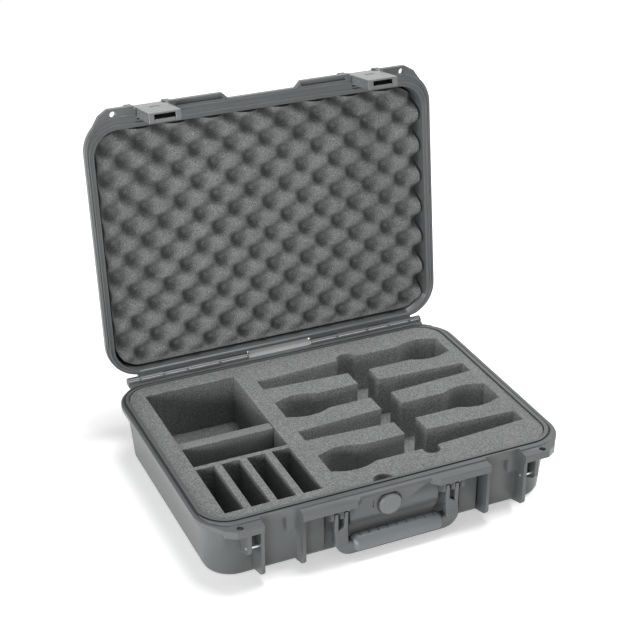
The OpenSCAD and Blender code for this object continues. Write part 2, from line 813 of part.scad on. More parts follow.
// Side view of a latch: from the barrel down to the lower end
module latch_side() {
    translate([-pivot_y, pivot_z]) circle(barrel_r);
    polygon([
        [-pivot_y - barrel_r + 0.6, pivot_z + 2.5], [-latch_out, pivot_z - 27],
        [-latch_out, latch_low], [-latch_out + latch_depth, latch_low],
        [-latch_out + latch_depth, pivot_z - 14], [-pivot_y + barrel_r - 0.6, pivot_z - 2.5]
    ]);
}

module latch_body() color("#858989") {
    half = latch_w / 2;
    difference() {
        along_x(-half, half) latch_side();
        // hollow behind the plate
        along_x(-latch_in, latch_in) polygon([
            [-latch_out + plate_t, latch_low + end_t], [-latch_out + plate_t, pivot_z - 28],
            [-pivot_y - 3, pivot_z - barrel_r - 3], [-pivot_y + far, pivot_z - barrel_r - 3],
            [-pivot_y + far, latch_low + end_t]
        ]);
        // mouth in the lower end, for a finger
        block([-mouth_half, -latch_out + plate_t, latch_low - 1],
            [mouth_half, -latch_out + far, latch_low + end_t + 1]);
        bar(-half - 1, half + 1, -pivot_y, pivot_z, latch_pin_r + fit);
        bar(-half - 1, half + 1, -trigger_y, trigger_z, trigger_pin_r + fit);
        // shallow bare panel on the plate
        block([-6, -latch_out - 1, pivot_z - 40], [6, -latch_out + 0.6, pivot_z - 33]);
    }
}

module trigger_pin() color("#c9ccce")
    bar(-latch_w / 2 + 0.3, latch_w / 2 - 0.3, -trigger_y, trigger_z, trigger_pin_r);

// Trigger lever: two barrels on the pin, a plate, the tooth and a finger lip
module trigger() color("#848888") {
    face = latch_out - latch_depth + 0.2;
    sill = latch_low + end_t + gap + (trigger_y - face) * sin(trigger_turn);
    difference() {
        union() {
            along_x(-trigger_half, trigger_half) union() {
                translate([-trigger_y, trigger_z]) circle(trigger_r);
                polygon([
                    [-trigger_y - 2, trigger_z - 2.6], [-face - 2.4, trigger_z - 12],
                    [-face - 2.4, sill], [-face, sill],
                    [-face, trigger_z - 11], [-trigger_y + 3, trigger_z + 1.5]
                ]);
            }
            along_x(-mouth_half + gap, mouth_half - gap) polygon([
                [-face - 2.4, latch_low + 6], [-face - 4.5, latch_low + 2.2],
                [-face - 4.5, latch_low + 0.5], [-face, latch_low + 0.5], [-face, latch_low + 6]
            ]);
            along_x(10.8, trigger_half) polygon([
                [-face - 1, catch_z - 0.3], [-pad_front + tooth_reach, catch_z - 0.3],
                [-pad_front + tooth_reach, catch_z - 2.3], [-face - 1, catch_z - 6]
            ]);
        }
        bar(-latch_w, latch_w, -trigger_y, trigger_z, trigger_pin_r + fit);
        block([-5.2, -trigger_y - trigger_r - 2, trigger_z - 6.5],
            [5.2, -trigger_y + 12, trigger_z + far]);
    }
}

// ---------- trigger spring: a wound tube round the pin, with two straight legs ----------

spring_turns = 4;
spring_r = 2.5;
spring_wire = 0.35;
spring_pitch = 1.1;

function spring_point(a) = [
    (a / 360 - spring_turns / 2) * spring_pitch,
    -trigger_y - spring_r * cos(a), trigger_z + spring_r * sin(a)];

// Direction of a path at point k
function heading(path, k) =
    let (d = path[min(k + 1, len(path) - 1)] - path[max(k - 1, 0)]) d / norm(d);

module trigger_spring() color("#b9bcbe") {
    steps = 8;
    leg = 7;
    coil = [for (k = [0 : steps * spring_turns]) spring_point(k * 360 / steps)];
    first = coil[0];
    last = coil[len(coil) - 1];
    path = concat([first + [0, 0, -leg]], coil, [last + [0, 0, leg]]);
    sides = 6;
    count = len(path);
    points = [for (k = [0 : count - 1], s = [0 : sides - 1])
        let (t = heading(path, k), u = [1, 0, 0] - t * t[0], v = u / norm(u), w = cross(t, v),
             a = s * 360 / sides)
        path[k] + spring_wire * (v * cos(a) + w * sin(a))];
    polyhedron(points = points, faces = concat(
        [[for (s = [0 : sides - 1]) s]],
        [for (k = [0 : count - 2], s = [0 : sides - 1])
            [k * sides + s, (k + 1) * sides + s, (k + 1) * sides + (s + 1) % sides]],
        [for (k = [0 : count - 2], s = [0 : sides - 1])
            [k * sides + s, (k + 1) * sides + (s + 1) % sides, k * sides + (s + 1) % sides]],
        [[for (s = [sides - 1 : -1 : 0]) (count - 1) * sides + s]]
    ));
}

// Places a latch piece on the open lid, left (-1) or right (1)
module on_lid(side) opened() translate([side * bay_x, 0, 0]) loose() children();

base_shell();
rim_gasket();
mirror([1, 0, 0]) strap_pin();  // strap_pin_left
strap_pin();  // strap_pin_right
mirror([1, 0, 0]) handle_pin();  // handle_pin_left
handle_pin();  // handle_pin_right
handle_frame();
handle_grip();
valve_body();
valve_o_ring();
valve_membrane();
valve_cap();
valve_nut();
mirror([1, 0, 0]) hinge_pin();  // hinge_pin_left
hinge_pin();  // hinge_pin_right
hinge_strip();
floor_foam();
tray_foam();
divider_foam();
lid_shell();
lid_foam();
opened() mirror([1, 0, 0]) latch_pin();  // latch_pin_left
opened() latch_pin();  // latch_pin_right
on_lid(-1) latch_body();  // latch_body_left
on_lid(1) latch_body();  // latch_body_right
on_lid(-1) trigger_pin();  // trigger_pin_left
on_lid(1) trigger_pin();  // trigger_pin_right
on_lid(-1) trigger();  // trigger_left
on_lid(1) trigger();  // trigger_right
on_lid(-1) trigger_spring();  // trigger_spring_left
on_lid(1) trigger_spring();  // trigger_spring_right
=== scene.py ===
"""Visual model of a hard microphone case, dressed over its exact frame.

The case stands open: a moulded base with a cut foam tray, and a lid lined with
convoluted foam that leans back on its hinge. All sizes are in metres, in the
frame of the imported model: X across the front, -Y towards the handle, Z up.
"""

import logging
import math
from dataclasses import dataclass, field
from enum import Enum
from typing import Callable, Sequence

import bmesh
import bpy
from mathutils import Matrix, Vector


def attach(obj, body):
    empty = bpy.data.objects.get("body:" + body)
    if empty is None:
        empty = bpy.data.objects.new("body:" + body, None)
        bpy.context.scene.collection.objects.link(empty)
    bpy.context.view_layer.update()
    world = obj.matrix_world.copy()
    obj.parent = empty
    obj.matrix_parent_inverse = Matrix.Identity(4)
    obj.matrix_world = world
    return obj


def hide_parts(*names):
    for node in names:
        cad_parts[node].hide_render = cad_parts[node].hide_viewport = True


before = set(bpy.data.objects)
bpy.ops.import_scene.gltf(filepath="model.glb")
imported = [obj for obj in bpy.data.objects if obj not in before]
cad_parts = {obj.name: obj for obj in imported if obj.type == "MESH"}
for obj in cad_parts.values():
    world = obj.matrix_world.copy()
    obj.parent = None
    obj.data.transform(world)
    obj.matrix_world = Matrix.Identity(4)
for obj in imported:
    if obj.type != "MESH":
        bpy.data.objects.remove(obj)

logging.basicConfig(level=logging.INFO, format="%(message)s")
LOG = logging.getLogger("case")

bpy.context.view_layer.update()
HINGE = Vector((0.0, 0.192, 0.092))
LID_OPEN = math.radians(97.0)
RIM = 0.0904
MERGE_WITHIN = 0.000002
FLAT_WITHIN = math.radians(0.5)

Colour = tuple[float, float, float]


class Side(Enum):
    """The two ends of the case's front, by their word in the names of nodes."""

    LEFT = "left"
    RIGHT = "right"


class Gloss(Enum):
    """How the surfaces of the case throw back light, as a roughness."""

    SATIN = 0.27
    MOULDED = 0.34
    DULL = 0.7
    POROUS = 0.95


def lid_place() -> Matrix:
    """Return the turn from the shut lid to the open one."""
    turn = Matrix.Rotation(-LID_OPEN, 4, "X")
    return Matrix.Translation(HINGE) @ turn @ Matrix.Translation(-HINGE)


def eased(part: float) -> float:
    """Return a share between 0 and 1 with a soft start and end."""
    part = min(1.0, max(0.0, part))
    return part * part * (3 - 2 * part)


# ---------------------------------------------------------------- node groups


class EffectGroup:
    """A shader node group with named sockets, built once and placed in materials."""

    def __init__(self, name: str, inputs: dict[str, float], outputs: dict[str, str]) -> None:
        """Make the group's tree with its sockets.

        Args:
            name: the group's name.
            inputs: each value socket and its default.
            outputs: each output socket and its kind, such as Float or Color.
        """
        self.tree = bpy.data.node_groups.new(name, "ShaderNodeTree")
        for label, value in inputs.items():
            socket = self.tree.interface.new_socket(
                name=label, in_out="INPUT", socket_type="NodeSocketFloat"
            )
            socket.default_value = value
        for label, kind in outputs.items():
            self.tree.interface.new_socket(
                name=label, in_out="OUTPUT", socket_type="NodeSocket" + kind
            )
        self.start = self.tree.nodes.new("NodeGroupInput")
        self.end = self.tree.nodes.new("NodeGroupOutput")

    def node(self, kind: str, **settings: object) -> bpy.types.Node:
        """Add a node to the group.

        Args:
            kind: the node's type, without its ShaderNode prefix.
            settings: properties to set on it.

        Returns:
            The new node.
        """
        made = self.tree.nodes.new("ShaderNode" + kind)
        for key, value in settings.items():
            setattr(made, key, value)
        return made

    def link(self, source: bpy.types.NodeSocket, target: bpy.types.NodeSocket) -> None:
        """Join two sockets of the group."""
        self.tree.links.new(source, target)

    def place(self, material: bpy.types.Material, **values: float) -> bpy.types.Node:
        """Put the group in a material.

        Args:
            material: the material that uses the effect.
            values: values of the group's sockets, with _ for a space.

        Returns:
            The group node.
        """
        made = material.node_tree.nodes.new("ShaderNodeGroup")
        made.node_tree = self.tree
        for key, value in values.items():
            made.inputs[key.replace("_", " ")].default_value = value
        return made


def build_grain() -> EffectGroup:
    """Make the fine texture of a moulding, with slow changes of tone.

    Returns:
        The group, for any number of materials.
    """
    group = EffectGroup(
        "Moulded grain",
        {"Scale": 1800.0, "Mottle Scale": 18.0},
        {"Height": "Float", "Mottle": "Float"},
    )
    cell_share = 0.6
    where = group.node("TexCoord")
    fine = group.node("TexNoise")
    fine.inputs["Detail"].default_value = 3.0
    cells = group.node("TexVoronoi")
    slow = group.node("TexNoise")
    slow.inputs["Detail"].default_value = 4.0
    both = group.node("Math", operation="MULTIPLY_ADD")
    both.inputs[1].default_value = cell_share
    for texture in (fine, cells, slow):
        group.link(where.outputs["Object"], texture.inputs["Vector"])
    group.link(group.start.outputs["Scale"], fine.inputs["Scale"])
    group.link(group.start.outputs["Scale"], cells.inputs["Scale"])
    group.link(group.start.outputs["Mottle Scale"], slow.inputs["Scale"])
    group.link(cells.outputs["Distance"], both.inputs[0])
    group.link(fine.outputs["Fac"], both.inputs[2])
    group.link(both.outputs[0], group.end.inputs["Height"])
    group.link(slow.outputs["Fac"], group.end.inputs["Mottle"])
    return group


def build_edge_highlight() -> EffectGroup:
    """Make the mask of a painted highlight along edges and the normal of slightly rounded ones.

    Returns:
        The group, for any number of materials.
    """
    group = EffectGroup(
        "Edge rounding and painted highlight",
        {"Radius": 0.0006, "Breakup Scale": 260.0, "Amount": 0.5},
        {"Mask": "Float", "Normal": "Vector"},
    )
    bend_none, bend_full = 0.99, 0.86
    break_low, break_high = 0.42, 0.62
    rounded = group.node("Bevel", samples=6)
    flat = group.node("NewGeometry")
    dot = group.node("VectorMath", operation="DOT_PRODUCT")
    ramp = group.node("MapRange", clamp=True)
    ramp.inputs["From Min"].default_value = bend_none
    ramp.inputs["From Max"].default_value = bend_full
    where = group.node("TexCoord")
    noise = group.node("TexNoise")
    noise.inputs["Detail"].default_value = 5.0
    broken = group.node("MapRange", clamp=True)
    broken.inputs["From Min"].default_value = break_low
    broken.inputs["From Max"].default_value = break_high
    # Painted highlight: the mask grows where the rounded normal bends away from the face's own,
    # broken up by noise.
    highlit_edges = group.node("Math", operation="MULTIPLY")
    much = group.node("Math", operation="MULTIPLY")
    group.link(group.start.outputs["Radius"], rounded.inputs["Radius"])
    group.link(rounded.outputs["Normal"], dot.inputs[0])
    group.link(flat.outputs["Normal"], dot.inputs[1])
    group.link(dot.outputs["Value"], ramp.inputs["Value"])
    group.link(where.outputs["Object"], noise.inputs["Vector"])
    group.link(group.start.outputs["Breakup Scale"], noise.inputs["Scale"])
    group.link(noise.outputs["Fac"], broken.inputs["Value"])
    group.link(ramp.outputs["Result"], highlit_edges.inputs[0])
    group.link(broken.outputs["Result"], highlit_edges.inputs[1])
    group.link(highlit_edges.outputs[0], much.inputs[0])
    group.link(group.start.outputs["Amount"], much.inputs[1])
    group.link(much.outputs[0], group.end.inputs["Mask"])
    group.link(rounded.outputs["Normal"], group.end.inputs["Normal"])
    return group


def build_foam_cells() -> EffectGroup:
    """Make the speckle and the open cells of cut foam.

    Returns:
        The group, for any number of materials.
    """
    group = EffectGroup(
        "Foam cells",
        {"Speckle Scale": 620.0, "Cell Scale": 1500.0, "Stain Scale": 14.0},
        {"Speckle": "Float", "Height": "Float", "Stain": "Float"},
    )
    where = group.node("TexCoord")
    speckle = group.node("TexNoise")
    speckle.inputs["Detail"].default_value = 3.0
    speckle.inputs["Roughness"].default_value = 0.7
    cells = group.node("TexVoronoi")
    cells.inputs["Randomness"].default_value = 1.0
    stain = group.node("TexNoise")
    stain.inputs["Detail"].default_value = 2.0
    both = group.node("Math", operation="ADD")
    for texture in (speckle, cells, stain):
        group.link(where.outputs["Object"], texture.inputs["Vector"])
    group.link(group.start.outputs["Speckle Scale"], speckle.inputs["Scale"])
    group.link(group.start.outputs["Cell Scale"], cells.inputs["Scale"])
    group.link(group.start.outputs["Stain Scale"], stain.inputs["Scale"])
    group.link(speckle.outputs["Fac"], both.inputs[0])
    group.link(cells.outputs["Distance"], both.inputs[1])
    group.link(speckle.outputs["Fac"], group.end.inputs["Speckle"])
    group.link(both.outputs[0], group.end.inputs["Height"])
    group.link(stain.outputs["Fac"], group.end.inputs["Stain"])
    return group


@dataclass
class Effects:
    """The effect groups that the finishes share."""

    grain: EffectGroup = field(default_factory=build_grain)
    # The edge group paints a highlight along rounded edges.
    edge_highlight: EffectGroup = field(default_factory=build_edge_highlight)
    foam: EffectGroup = field(default_factory=build_foam_cells)


# ------------------------------------------------------------------- finishes


def blank_material(name: str) -> tuple[bpy.types.Material, bpy.types.Node]:
    """Make a material that holds only its shader.

    Args:
        name: the material's name.

    Returns:
        The material and its Principled shader.
    """
    material = bpy.data.materials.new(name)
    material.use_nodes = True
    return material, material.node_tree.nodes["Principled BSDF"]


def colour_ramp(
    material: bpy.types.Material, stops: Sequence[tuple[float, Colour]]
) -> bpy.types.Node:
    """Add a colour ramp.

    Args:
        material: the material that gets it.
        stops: each place on the ramp and its colour.

    Returns:
        The ramp's node.
    """
    ramp = material.node_tree.nodes.new("ShaderNodeValToRGB")
    ramp.color_ramp.elements[0].position = stops[0][0]
    ramp.color_ramp.elements[0].color = (*stops[0][1], 1.0)
    ramp.color_ramp.elements[1].position = stops[-1][0]
    ramp.color_ramp.elements[1].color = (*stops[-1][1], 1.0)
    for place, colour in stops[1:-1]:
        ramp.color_ramp.elements.new(place).color = (*colour, 1.0)
    return ramp


def scaled(colour: Colour, by: float) -> Colour:
    """Return a colour made lighter or darker by a factor."""
    return (colour[0] * by, colour[1] * by, colour[2] * by)


@dataclass(frozen=True)
class MouldedPlastic:
    """Moulded plastic or rubber with a fine grain and slightly rounded edges, painted lighter as a
    highlight.
    """

    name: str
    colour: Colour
    gloss: Gloss = Gloss.MOULDED
    grain_scale: float = 1700.0
    grain_depth: float = 0.10
    grain_height: float = 0.0004
    edge_radius: float = 0.0007
    # How strongly the edges are painted, and how much lighter: a painted highlight along them.
    edge_highlight: float = 0.35
    highlight_lift: float = 1.5
    darkest: float = 0.93
    lightest: float = 1.07
    gloss_spread: float = 0.05

    def build(self, effects: Effects) -> bpy.types.Material:
        """Make the material.

        Args:
            effects: the shared effect groups.

        Returns:
            The finished material.
        """
        material, shader = blank_material(self.name)
        links = material.node_tree.links
        grain = effects.grain.place(material, Scale=self.grain_scale)
        edge_highlight = effects.edge_highlight.place(material, Radius=self.edge_radius, Amount=self.edge_highlight)
        tone = colour_ramp(
            material,
            [
                (0.3, scaled(self.colour, self.darkest)),
                (0.7, scaled(self.colour, self.lightest)),
            ],
        )
        # Rounded edges are painted lighter here: a painted highlight.
        mix = material.node_tree.nodes.new("ShaderNodeMix")
        mix.data_type = "RGBA"
        mix.inputs["B"].default_value = (*scaled(self.colour, self.highlight_lift), 1.0)
        rough = material.node_tree.nodes.new("ShaderNodeMapRange")
        rough.inputs["To Min"].default_value = self.gloss.value - self.gloss_spread
        rough.inputs["To Max"].default_value = self.gloss.value + self.gloss_spread
        bump = material.node_tree.nodes.new("ShaderNodeBump")
        bump.inputs["Strength"].default_value = self.grain_depth
        bump.inputs["Distance"].default_value = self.grain_height
        links.new(grain.outputs["Mottle"], tone.inputs["Fac"])
        links.new(tone.outputs["Color"], mix.inputs["A"])
        links.new(edge_highlight.outputs["Mask"], mix.inputs["Factor"])
        links.new(mix.outputs["Result"], shader.inputs["Base Color"])
        links.new(grain.outputs["Mottle"], rough.inputs["Value"])
        links.new(rough.outputs["Result"], shader.inputs["Roughness"])
        links.new(grain.outputs["Height"], bump.inputs["Height"])
        links.new(edge_highlight.outputs["Normal"], bump.inputs["Normal"])
        links.new(bump.outputs["Normal"], shader.inputs["Normal"])
        return material


@dataclass(frozen=True)
class SoftFoam:
    """Open-cell foam, speckled where it is cut."""

    name: str
    colour: Colour
    speckle: float = 0.45
    highlight: float = 1.4
    stain: float = 0.08
    speckle_scale: float = 620.0
    depth: float = 0.5
    cell_height: float = 0.0012
    sheen: float = 0.15

    def build(self, effects: Effects) -> bpy.types.Material:
        """Make the material.

        Args:
            effects: the shared effect groups.

        Returns:
            The finished material.
        """
        material, shader = blank_material(self.name)
        links = material.node_tree.links
        cells = effects.foam.place(material, Speckle_Scale=self.speckle_scale)
        fine = colour_ramp(
            material,
            [
                (0.34, scaled(self.colour, 1.0 - self.speckle)),
                (0.5, self.colour),
                (0.66, scaled(self.colour, 1.0 + self.highlight * self.speckle)),
            ],
        )
        slow = colour_ramp(
            material,
            [(0.35, (1.0 - self.stain,) * 3), (0.65, (1.0, 1.0, 1.0))],
        )
        mix = material.node_tree.nodes.new("ShaderNodeMix")
        mix.data_type = "RGBA"
        mix.blend_type = "MULTIPLY"
        mix.inputs["Factor"].default_value = 1.0
        bump = material.node_tree.nodes.new("ShaderNodeBump")
        bump.inputs["Strength"].default_value = self.depth
        bump.inputs["Distance"].default_value = self.cell_height
        shader.inputs["Roughness"].default_value = Gloss.POROUS.value
        shader.inputs["Specular IOR Level"].default_value = self.sheen
        links.new(cells.outputs["Speckle"], fine.inputs["Fac"])
        links.new(cells.outputs["Stain"], slow.inputs["Fac"])
        links.new(fine.outputs["Color"], mix.inputs["A"])
        links.new(slow.outputs["Color"], mix.inputs["B"])
        links.new(mix.outputs["Result"], shader.inputs["Base Color"])
        links.new(cells.outputs["Height"], bump.inputs["Height"])
        links.new(bump.outputs["Normal"], shader.inputs["Normal"])
        return material


@dataclass(frozen=True)
class DrawnSteel:
    """Drawn steel, slightly uneven in tone and polish."""

    name: str
    colour: Colour = (0.86, 0.87, 0.88)
    gloss: Gloss = Gloss.SATIN
    grain_scale: float = 900.0
    mottle_scale: float = 120.0
    darkest: float = 0.82
    gloss_spread: float = 0.2

    def build(self, effects: Effects) -> bpy.types.Material:
        """Make the material.

        Args:
            effects: the shared effect groups.

        Returns:
            The finished material.
        """
        material, shader = blank_material(self.name)
        links = material.node_tree.links
        grain = effects.grain.place(
            material, Scale=self.grain_scale, Mottle_Scale=self.mottle_scale
        )
        tone = colour_ramp(
            material,
            [(0.35, scaled(self.colour, self.darkest)), (0.65, self.colour)],
        )
        rough = material.node_tree.nodes.new("ShaderNodeMapRange")
        rough.inputs["To Min"].default_value = self.gloss.value
        rough.inputs["To Max"].default_value = self.gloss.value + self.gloss_spread
        shader.inputs["Metallic"].default_value = 1.0
        links.new(grain.outputs["Mottle"], tone.inputs["Fac"])
        links.new(tone.outputs["Color"], shader.inputs["Base Color"])
        links.new(grain.outputs["Mottle"], rough.inputs["Value"])
        links.new(rough.outputs["Result"], shader.inputs["Roughness"])
        return material


@dataclass(frozen=True)
class Finishes:
    """Every material of the case, one for each record slot."""

    materials: dict[str, bpy.types.Material]

    @staticmethod
    def build() -> "Finishes":
        """Make every material.

        Returns:
            The finished materials, by slot.
        """
        effects = Effects()
        made = [
            (
                "shell",
                # The shell's edges get a stronger painted highlight.
                MouldedPlastic(
                    "Moulding grey", (0.088, 0.095, 0.095), edge_radius=0.0012, edge_highlight=0.6
                ),
            ),
            (
                "latch_plastic",
                # The shell's own plastic made lighter: painted light for latch plates, levers and
                # valve cap that catch light from above.
                MouldedPlastic("Latch grey painted lighter", (0.135, 0.143, 0.143), Gloss.SATIN, edge_highlight=0.5),
            ),
            (
                "handle_plastic",
                MouldedPlastic("Handle grey", (0.09, 0.098, 0.099), Gloss.SATIN, edge_highlight=0.4),
            ),
            (
                "grip_rubber",
                MouldedPlastic(
                    "Grip rubber",
                    (0.125, 0.139, 0.145),
                    grain_scale=900.0,
                    grain_depth=0.25,
                    edge_radius=0.001,
                    edge_highlight=0.2,
                ),
            ),
            (
                "seal_rubber",
                MouldedPlastic("Seal rubber", (0.012, 0.012, 0.013), Gloss.DULL, edge_highlight=0.0),
            ),
            ("pin_steel", DrawnSteel("Pin steel")),
            (
                "strip_plastic",
                # The shell's own plastic made much lighter: painted light for a strip lit from
                # above.
                MouldedPlastic("Hinge strip grey painted lighter", (0.31, 0.32, 0.32), Gloss.DULL, edge_highlight=0.0),
            ),
            (
                "valve_plastic",
                MouldedPlastic("Valve black", (0.03, 0.032, 0.034), edge_highlight=0.1),
            ),
            (
                "membrane",
                SoftFoam(
                    "Valve film",
                    (0.6, 0.6, 0.56),
                    speckle=0.1,
                    stain=0.05,
                    speckle_scale=3000.0,
                    depth=0.1,
                ),
            ),
            ("spring_steel", DrawnSteel("Spring wire", (0.5, 0.51, 0.52), Gloss.MOULDED)),
            ("foam", SoftFoam("Tray foam", (0.172, 0.181, 0.177))),
            ("dark_foam", SoftFoam("Lid foam", (0.157, 0.165, 0.161))),
        ]
        return Finishes({slot: finish.build(effects) for slot, finish in made})

    def dress(self, piece: bpy.types.Object, slot: str) -> None:
        """Give a piece the material of a record slot.

        Args:
            piece: the piece, with or without materials of its own.
            slot: the record's material slot.
        """
        piece.data.materials.clear()
        piece.data.materials.append(self.materials[slot])


# ------------------------------------------------------------------ modelling


class Bench:
    """The work bench: starts, shapes and finishes pieces with Blender's operators."""

    @staticmethod
    def clear() -> None:
        """Leave edit mode and deselect everything."""
        if bpy.context.object and bpy.context.object.mode != "OBJECT":
            bpy.ops.object.mode_set(mode="OBJECT")
        bpy.ops.object.select_all(action="DESELECT")

    @staticmethod
    def hold(piece: bpy.types.Object) -> None:
        """Select one piece and make it the active one.

        Args:
            piece: the piece.
        """
        Bench.clear()
        piece.select_set(True)
        bpy.context.view_layer.objects.active = piece

    @staticmethod
    def name(label: str) -> bpy.types.Object:
        """Name the active object and its mesh.

        Args:
            label: the name.

        Returns:
            The object.
        """
        piece = bpy.context.object
        piece.name = label
        piece.data.name = label
        return piece

    @staticmethod
    def block(label: str, low: Sequence[float], high: Sequence[float]) -> bpy.types.Object:
        """Start a piece from a block.

        Args:
            label: the piece's name.
            low: its lowest corner.
            high: its highest corner.

        Returns:
            The new piece, with its place in its mesh.
        """
        Bench.clear()
        middle = [(a + b) / 2 for a, b in zip(low, high)]
        bpy.ops.mesh.primitive_cube_add(size=1.0, location=middle)
        piece = Bench.name(label)
        piece.scale = [b - a for a, b in zip(low, high)]
        bpy.ops.object.transform_apply(location=True, rotation=True, scale=True)
        return piece

    @staticmethod
    def rod(
        label: str,
        middle: Sequence[float],
        half: float,
        radii: tuple[float, float],
        sides: int = 64,
    ) -> bpy.types.Object:
        """Start a piece from an oval rod along X.

        Args:
            label: the piece's name.
            middle: its middle.
            half: half its length.
            radii: its radius along Y and along Z.
            sides: faces around it.

        Returns:
            The new piece, with its place in its mesh.
        """
        Bench.clear()
        bpy.ops.mesh.primitive_cylinder_add(
            vertices=sides, radius=1.0, depth=2 * half, rotation=(0.0, math.pi / 2, 0.0)
        )
        piece = Bench.name(label)
        bpy.ops.object.transform_apply(location=False, rotation=True, scale=False)
        piece.scale = (1.0, radii[0], radii[1])
        piece.location = middle
        bpy.ops.object.transform_apply(location=True, rotation=False, scale=True)
        return piece

    @staticmethod
    def cut(piece: bpy.types.Object, tool: bpy.types.Object) -> None:
        """Cut a tool's shape out of a piece, and put the tool away.

        Args:
            piece: the piece.
            tool: the shape to cut out.
        """
        Bench.modify(piece, "BOOLEAN", operation="DIFFERENCE", solver="EXACT", object=tool)
        bpy.data.objects.remove(tool)

    @staticmethod
    def edit(piece: bpy.types.Object) -> None:
        """Open a piece in edit mode with all of it selected.

        Args:
            piece: the piece.
        """
        Bench.hold(piece)
        bpy.ops.object.mode_set(mode="EDIT")
        bpy.ops.mesh.select_mode(type="FACE")
        bpy.ops.mesh.select_all(action="SELECT")

    @staticmethod
    def edit_edges(piece: bpy.types.Object, pick: Callable[[Vector], bool]) -> None:
        """Open a piece in edit mode with some of its edges selected.

        Args:
            piece: the piece.
            pick: says whether an edge whose middle lies at a point is selected.
        """
        Bench.edit(piece)
        bpy.ops.mesh.select_mode(type="EDGE")
        bpy.ops.mesh.select_all(action="DESELECT")
        shape = bmesh.from_edit_mesh(piece.data)
        for edge in shape.edges:
            edge.select_set(pick((edge.verts[0].co + edge.verts[1].co) / 2))
        shape.select_flush_mode()
        bmesh.update_edit_mesh(piece.data)

    @staticmethod
    def done() -> None:
        """Go back from edit mode."""
        bpy.ops.object.mode_set(mode="OBJECT")

    @staticmethod
    def modify(piece: bpy.types.Object, kind: str, **settings: object) -> None:
        """Add a modifier and apply it.

        Args:
            piece: the piece.
            kind: the modifier's type.
            settings: its properties.
        """
        Bench.hold(piece)
        bpy.ops.object.modifier_add(type=kind)
        added = piece.modifiers[-1]
        for key, value in settings.items():
            setattr(added, key, value)
        bpy.ops.object.modifier_apply(modifier=added.name)

    @staticmethod
    def smooth(piece: bpy.types.Object, degrees: float = 30.0) -> None:
        """Shade a piece smooth, up to an angle between its faces."""
        Bench.hold(piece)
        bpy.ops.object.shade_smooth_by_angle(angle=math.radians(degrees))

    @staticmethod
    def flatten(piece: bpy.types.Object) -> None:
        """Let a piece's large faces set its normals, so that they shade flat."""
        Bench.modify(piece, "WEIGHTED_NORMAL", mode="FACE_AREA", weight=90, keep_sharp=True)

    @staticmethod
    def round_edges(
        piece: bpy.types.Object, width: float, segments: int = 2, degrees: float = 40.0
    ) -> None:
        """Round a piece's edges with an applied bevel.

        Args:
            piece: the piece.
            width: the bevel's width.
            segments: faces across it.
            degrees: edges flatter than this stay.
        """
        Bench.modify(
            piece,
            "BEVEL",
            width=width,
            segments=segments,
            limit_method="ANGLE",
            angle_limit=math.radians(degrees),
            use_clamp_overlap=False,
            harden_normals=False,
        )

    @staticmethod
    def from_node(node: str, label: str) -> bpy.types.Object:
        """Start a piece from a merged copy of a node's mesh.

        Args:
            node: the node's name.
            label: the piece's name.

        Returns:
            The new piece.
        """
        Bench.clear()
        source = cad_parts[node]
        piece = bpy.data.objects.new(label, source.data.copy())
        piece.data.name = label
        bpy.context.scene.collection.objects.link(piece)
        Bench.edit(piece)
        bpy.ops.mesh.remove_doubles(threshold=MERGE_WITHIN)
        bpy.ops.mesh.dissolve_limited(angle_limit=FLAT_WITHIN)
        Bench.done()
        return piece

    @staticmethod
    def put(piece: bpy.types.Object, place: Matrix) -> None:
        """Write a place into a piece's mesh."""
        piece.data.transform(place)
        piece.data.update()


@dataclass
class SubAssembly:
    """A group of pieces that ride on one body."""

    finishes: Finishes

    def settle(self, piece: bpy.types.Object, body: str, slot: str, *nodes: str) -> None:
        """Dress a piece, let it ride on a body and stand for CAD nodes.

        Args:
            piece: the piece.
            body: the CAD body that carries it.
            slot: its material slot.
            nodes: the CAD nodes that it replaces.
        """
        self.finishes.dress(piece, slot)
        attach(piece, body)
        if nodes:
            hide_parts(*nodes)
        LOG.info("%s: %d faces on %s", piece.name, len(piece.data.polygons), body)

    def moulded(self, node: str, label: str, body: str, slot: str, width: float = 0.0) -> None:
        """Remake a rigid node with rounded edges and dress it.

        Args:
            node: the CAD node.
            label: the name of the new piece.
            body: the body that it rides on.
            slot: its material slot.
            width: width of its rounded edges, or 0 to leave them sharp.
        """
        piece = Bench.from_node(node, label)
        if width > 0.0:
            Bench.round_edges(piece, width)
        Bench.smooth(piece)
        Bench.flatten(piece)
        self.settle(piece, body, slot, node)


# ------------------------------------------------------------- sub-assemblies


@dataclass
class BaseMoulding(SubAssembly):
    """The base with its seal, pins and hinge strip."""

    edge: float = 0.0005
    pin_edge: float = 0.0003

    def build(self) -> None:
        """Make the base's pieces."""
        self.moulded("base_shell", "base_moulding", "base", "shell")
        self.moulded("rim_gasket", "rim_seal", "base", "seal_rubber", self.edge)
        self.moulded("hinge_strip", "hinge_middle_strip", "base", "strip_plastic", self.edge)
        for side in Side:
            for kind in ("strap_pin", "handle_pin", "hinge_pin"):
                node = f"{kind}_{side.value}"
                label = f"{kind}_bar_{side.value}"
                self.moulded(node, label, "base", "pin_steel", self.pin_edge)


@dataclass
class LidMoulding(SubAssembly):
    """The lid's shell with the latch pins."""

    pin_edge: float = 0.0004

    def build(self) -> None:
        """Make the lid's pieces."""
        self.moulded("lid_shell", "lid_moulding", "lid", "shell")
        for side in Side:
            node = f"latch_pin_{side.value}"
            label = f"latch_pivot_{side.value}"
            self.moulded(node, label, "lid", "pin_steel", self.pin_edge)


